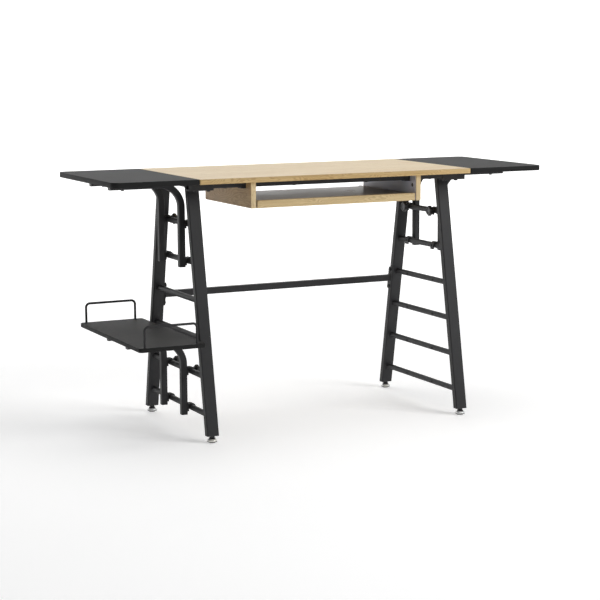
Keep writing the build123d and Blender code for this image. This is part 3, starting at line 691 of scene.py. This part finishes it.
board_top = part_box("lower_shelf_board")[1].z
for label in ("front", "rear"):
    low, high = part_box("lower_shelf_guard_" + label)
    wire_r = (high.y - low.y) / 2
    collars = Shape()
    for x in (low.x + wire_r, high.x - wire_r):
        collars.lathe(COLLAR, Matrix.Translation((x, (low.y + high.y) / 2, board_top)), 40)
    collars.done("guard_collars_" + label, "black_plastic", "lower_shelf_unit", "black_plastic")

plugs = Shape()
for node in ("front_rail", "rear_rail"):
    low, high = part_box(node)
    for x, out in ((low.x, -1), (high.x, 1)):
        steps = [(x + out * depth, shrink) for depth, shrink in PLUG_STEPS]
        plugs.block((low.y, high.y), (low.z, high.z), PLUG_ROUND, steps, at_x)
plugs.done("rail_end_plugs", "black_plastic", "desk_frame", "black_plastic")


# ------------------------------------------------------------------ drawer slides
# Face of the mounting plate, and the sight hole that shows a fixing screw's head.
SLIDE_FACE, SIGHT_Y, SIGHT_Z = 263.5 * MM, -203 * MM, 716 * MM
SCREW_HEAD = in_mm(((0.3, -1.2), (6.6, -1.2), (6.6, -0.35), (0.3, -0.35)))
LIP_R, LIP_INSET, LIP_END = 1.0 * MM, 0.75 * MM, 1 * MM
BALL = in_mm(((0.04, -1.45), (0.74, -1.26), (1.26, -0.74), (1.45, 0.0), (1.26, 0.74),
              (0.74, 1.26), (0.04, 1.45)))
BALL_X, BALL_INSET, BALL_COUNT = 257.5 * MM, 0.5 * MM, 8
# End stop: its width, its height above the outer member's edge, and its sections along Y.
STOP_X0, STOP_X1, STOP_Z0, STOP_Z1 = 256 * MM, 263.3 * MM, 2.2 * MM, 15.8 * MM
STOP_STEPS = in_mm(((-9, 0.6), (-8.4, 0.0), (0.6, 0.0), (1.2, 0.6)))
STOP_ROUND = 1.5 * MM


def slide(side, label):
    """Lips, ball rows, fixing screw and end stop of a tray slide."""
    low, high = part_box(label + "_slide_inner")
    lip = Shape()
    x = high.x if side > 0 else low.x
    for z in (low.z + LIP_INSET, high.z - LIP_INSET):
        lip.seam((x, low.y + LIP_END, z), (x, high.y - LIP_END, z), LIP_R, 40)
    lip.done(label + "_slide_lips", "slide_steel", "tray", "slide_steel")

    screw = Shape()
    outward = Matrix.Rotation(-side * pi / 2, 4, "Y")
    place = Matrix.Translation((side * SLIDE_FACE, SIGHT_Y, SIGHT_Z)) @ outward
    screw.lathe(SCREW_HEAD, place, 40)
    screw.done(label + "_slide_screw", "black_plastic", "desk_frame", "black_screw")

    low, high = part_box(label + "_ball_retainer")
    balls = Shape()
    for n in range(BALL_COUNT):
        y = low.y + (high.y - low.y) * (n + 0.5) / BALL_COUNT
        for z in (low.z + BALL_INSET, high.z - BALL_INSET):
            balls.lathe(BALL, Matrix.Translation((side * BALL_X, y, z)), 20)
    balls.done(label + "_slide_balls", "foot_zinc", label + "_retainer", "slide_steel")

    low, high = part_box(label + "_slide_outer")
    stop = Shape()
    steps = [(high.y + back, shrink) for back, shrink in STOP_STEPS]
    stop.block(sorted((side * STOP_X0, side * STOP_X1)), (low.z + STOP_Z0, low.z + STOP_Z1),
               STOP_ROUND, steps, at_y)
    stop.done(label + "_slide_stop", "black_plastic", "desk_frame", "black_plastic")


for side, label in SIDES:
    slide(side, label)


# ------------------------------------------------------------------ hand knobs
# Grip: shares of the knob's radius and heights in millimetres above its inner face.
GRIP = ((0.56, 0.0), (0.60, 0.3), (0.60, 2.0), (0.80, 2.3), (0.93, 3.2), (0.985, 4.6), (1.0, 7.0),
        (0.995, 9.6), (0.965, 11.4), (0.90, 12.9), (0.80, 13.8), (0.70, 13.95), (0.62, 13.5),
        (0.50, 12.7), (0.36, 12.3), (0.28, 12.3))
GRIP_H = 13.95 * MM
KNOB_STEM = 3.9 * MM
INSERT = in_mm(((1.0, 9.0), (4.4, 9.0), (4.5, 12.2), (4.2, 12.6), (1.4, 12.6), (1.2, 12.0),
                (0.3, 12.0)))
KNOB_THREAD = in_mm([(2.4, -3.85), (2.9, -3.4)]
                    + [(2.95 if n % 2 else 2.6, -3.2 + 0.5 * n) for n in range(7)]
                    + [(2.6, 0.6)])
LOBE_COUNT, LOBE_DEPTH = 6, 0.075
LOBE_START, LOBE_FADE_TOP, LOBE_FADE = 2.2 * MM, 13.9 * MM, 1.2 * MM


def lobes(angle, height):
    """Factor that scallops the grip above its neck and fades towards its face."""
    strength = LOBE_DEPTH if height > LOBE_START else 0.0
    fade = min(1.0, max(0.0, (LOBE_FADE_TOP - height) / LOBE_FADE))
    return 1.0 - strength * (0.35 + 0.65 * fade) * (1 - cos(LOBE_COUNT * angle))


def knob(node):
    """Six-lobed knob with a dished face, a steel insert and its threaded stem."""
    low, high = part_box(node)
    side = 1 if low.x > 0 else -1
    y = (low.y + high.y) / 2
    z = (low.z + high.z) / 2
    inner_x = high.x if side > 0 else low.x
    face = Matrix.Translation((inner_x, y, z)) @ Matrix.Rotation(-side * pi / 2, 4, "Y")
    start = face @ Matrix.Translation((0, 0, KNOB_STEM))
    radius = (high.z - low.z) / 2
    depth = (high.x - low.x - KNOB_STEM) / GRIP_H
    body = node + "_body"
    shape = Shape()
    shape.lathe([(r * radius, h * MM * depth) for r, h in GRIP], start, 96, lobes)
    grip = shape.done(node + "_grip", "black_plastic", body, "black_plastic")
    metal = Shape()
    metal.lathe(INSERT, start, 6)
    metal.lathe(KNOB_THREAD, start, 28)
    metal.done(node + "_insert", "dark_steel", body, "black_plastic")
    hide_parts(node)


for prefix in SHELVES:
    for label in ("front", "rear"):
        knob(prefix + "_knob_" + label)


# ------------------------------------------------------------------ stage, light and camera
FLOOR_HALF_W, FLOOR_NEAR, FLOOR_FAR, BACKDROP_TOP, BACKDROP_BEND = 14.0, -9.0, 7.0, 9.0, 3.0
DESK_MIDDLE = (0, 0, 0.5)
# Name, place, point it shines at, size and power of each area light.
LIGHTS = (
    ("key", (2.8, -3.6, 2.6), DESK_MIDDLE, (2.4, 2.0), 118),
    ("top", (0.3, 0.2, 3.8), DESK_MIDDLE, (3.2, 2.2), 40),
    ("backdrop_left", (-3.4, 3.6, 3.4), (-2.0, 7.0, 1.2), (3.0, 3.0), 100),
    ("backdrop_right", (3.4, 3.6, 3.4), (2.0, 7.0, 1.2), (3.0, 3.0), 110),
)
WORLD_STRENGTH = 0.15
CAMERA_PLACE = (-2.3204, -4.7287, 1.1489)
CAMERA_TURN, CAMERA_DOWN, CAMERA_ROLL = radians(-25.98), radians(8.56), radians(-0.25)
SENSOR_WIDTH_MM, LENS_MM = 36.0, 103.54


def area_light(name, place, aim, size, power):
    data = bpy.data.lights.new(name, "AREA")
    data.shape = "RECTANGLE"
    data.size, data.size_y = size
    data.energy = power
    light = bpy.data.objects.new(name, data)
    light.location = place
    direction = Vector(aim) - Vector(place)
    light.rotation_euler = direction.to_track_quat("-Z", "Y").to_euler()
    bpy.context.scene.collection.objects.link(light)


def studio():
    """Pale floor that curves up into a backdrop, with soft light from the right, above and left."""
    bend_y, bend = FLOOR_FAR - BACKDROP_BEND, BACKDROP_BEND
    rows = [(FLOOR_NEAR, 0.0), (bend_y, 0.0)]
    rows += [(bend_y + bend * sin(a), bend - bend * cos(a))
             for a in (pi / 16 * n for n in range(1, 9))]
    rows.append((FLOOR_FAR, BACKDROP_TOP))
    verts = []
    for y, z in rows:
        verts += [(-FLOOR_HALF_W, y, z), (FLOOR_HALF_W, y, z)]
    faces = [(2 * n, 2 * n + 1, 2 * n + 3, 2 * n + 2) for n in range(len(rows) - 1)]
    mesh = bpy.data.meshes.new("studio_floor")
    mesh.from_pydata(verts, [], faces)
    for polygon in mesh.polygons:
        polygon.use_smooth = True
    floor = bpy.data.objects.new("studio_floor", mesh)
    bpy.context.scene.collection.objects.link(floor)
    m = Material("studio_paper", Specular_IOR_Level=0.1, Roughness=0.9,
                 Emission_Color=rgb(1.0, 1.0, 1.0), Emission_Strength=0.37)
    tooth = m.noise(3.0, detail=3)
    paper = m.mix(tooth, rgb(0.93, 0.93, 0.93), rgb(0.95, 0.95, 0.95))
    m.feed(m.shader.inputs["Base Color"], paper)
    mesh.materials.append(m.material)
    world = bpy.data.worlds.new("studio_world")
    bpy.context.scene.world = world
    world.use_nodes = True
    background = world.node_tree.nodes["Background"]
    background.inputs["Color"].default_value = rgb(1.0, 1.0, 1.0)
    background.inputs["Strength"].default_value = WORLD_STRENGTH
    for light in LIGHTS:
        area_light(*light)


def camera():
    """Camera at the left front, a little above the top."""
    forward = Vector((-sin(CAMERA_TURN) * cos(CAMERA_DOWN), cos(CAMERA_TURN) * cos(CAMERA_DOWN),
                      -sin(CAMERA_DOWN)))
    data = bpy.data.cameras.new("camera")
    data.sensor_width = SENSOR_WIDTH_MM
    data.lens = LENS_MM
    data.clip_end = 60.0
    made = bpy.data.objects.new("camera", data)
    aim = forward.to_track_quat("-Z", "Y").to_matrix() @ Matrix.Rotation(CAMERA_ROLL, 3, "Z")
    made.matrix_world = Matrix.Translation(CAMERA_PLACE) @ aim.to_4x4()
    bpy.context.scene.collection.objects.link(made)
    bpy.context.scene.camera = made


studio()
camera()
bpy.context.scene.view_settings.view_transform = "Standard"
